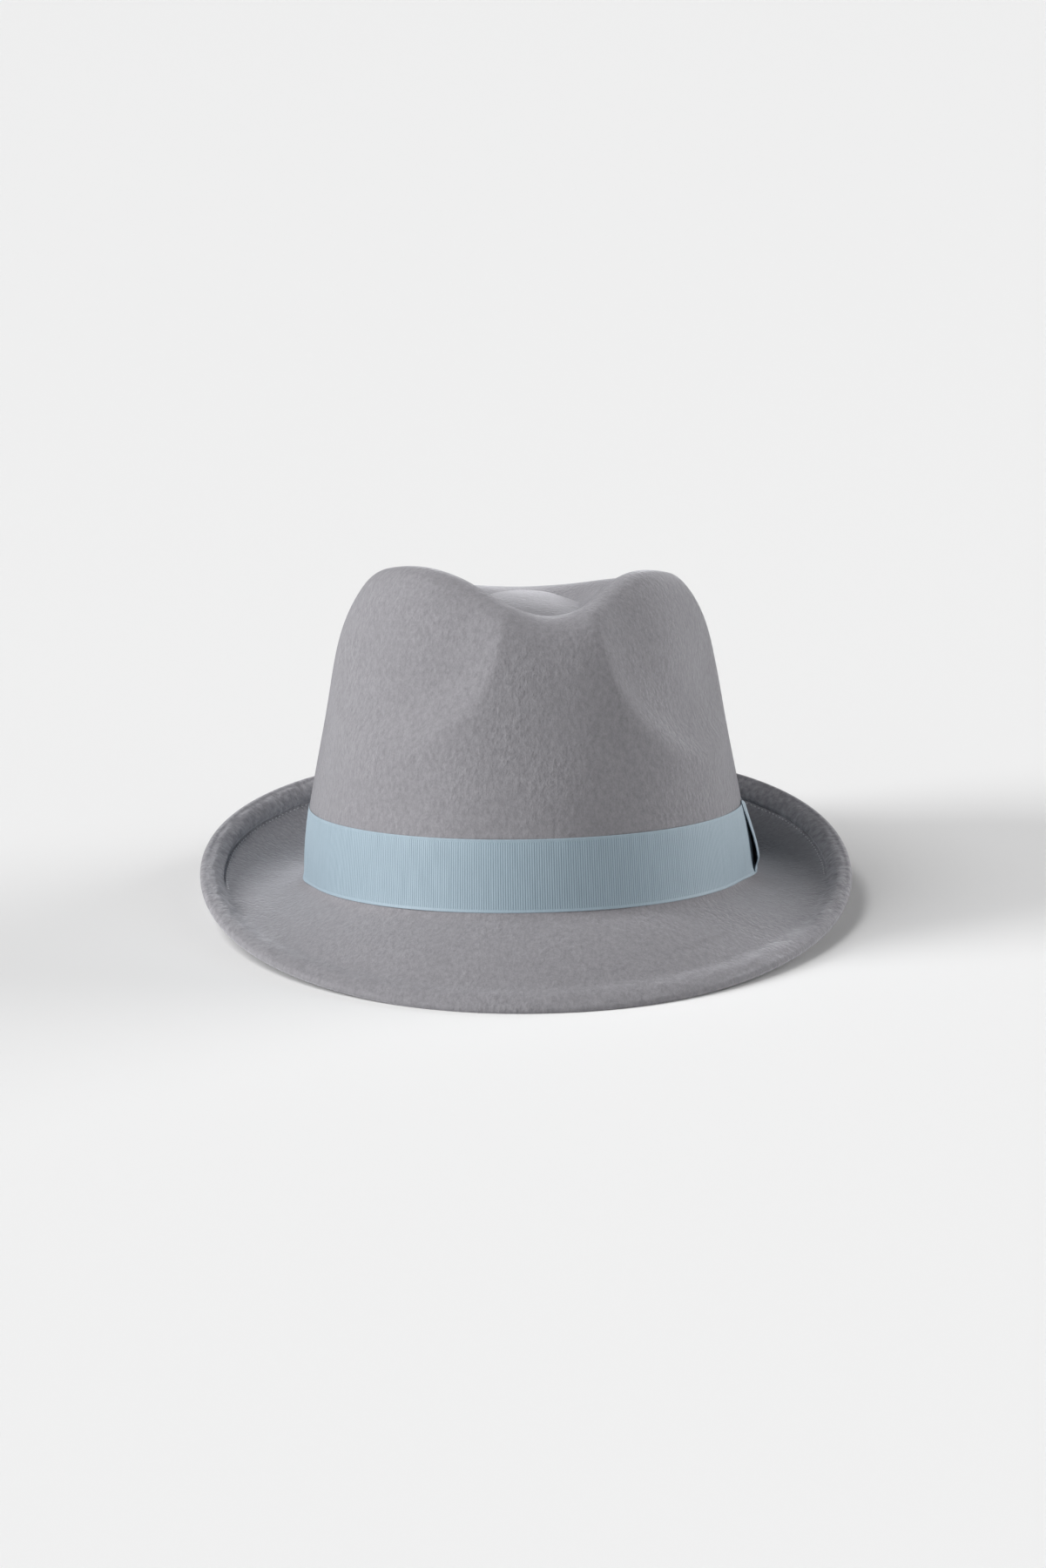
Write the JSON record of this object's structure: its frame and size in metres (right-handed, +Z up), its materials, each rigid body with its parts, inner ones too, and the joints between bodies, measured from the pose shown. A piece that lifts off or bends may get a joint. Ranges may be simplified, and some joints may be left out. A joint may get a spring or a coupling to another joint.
{
  "type": "felt trilby hat",
  "caption": "Grey felt trilby with a teardrop crown, front pinches, upturned stitched brim, pale blue grosgrain band and flat side bow.",
  "frame": {"origin": "centre of the bounding box, on the surface the hat rests on", "axes": "+Z up; the front of the hat faces -Y; +X is the wearer's left side, with the bow"},
  "size_m": [0.2538, 0.2708, 0.1438],
  "materials": {
    "felt": "matte wool felt",
    "ribbon": "ribbed grosgrain"
  },
  "bodies": {
    "root": {"felt_body": "felt", "hat_band": "ribbon", "bow_under": "ribbon", "bow_over": "ribbon", "bow_knot": "ribbon"}
  },
  "joints": []
}
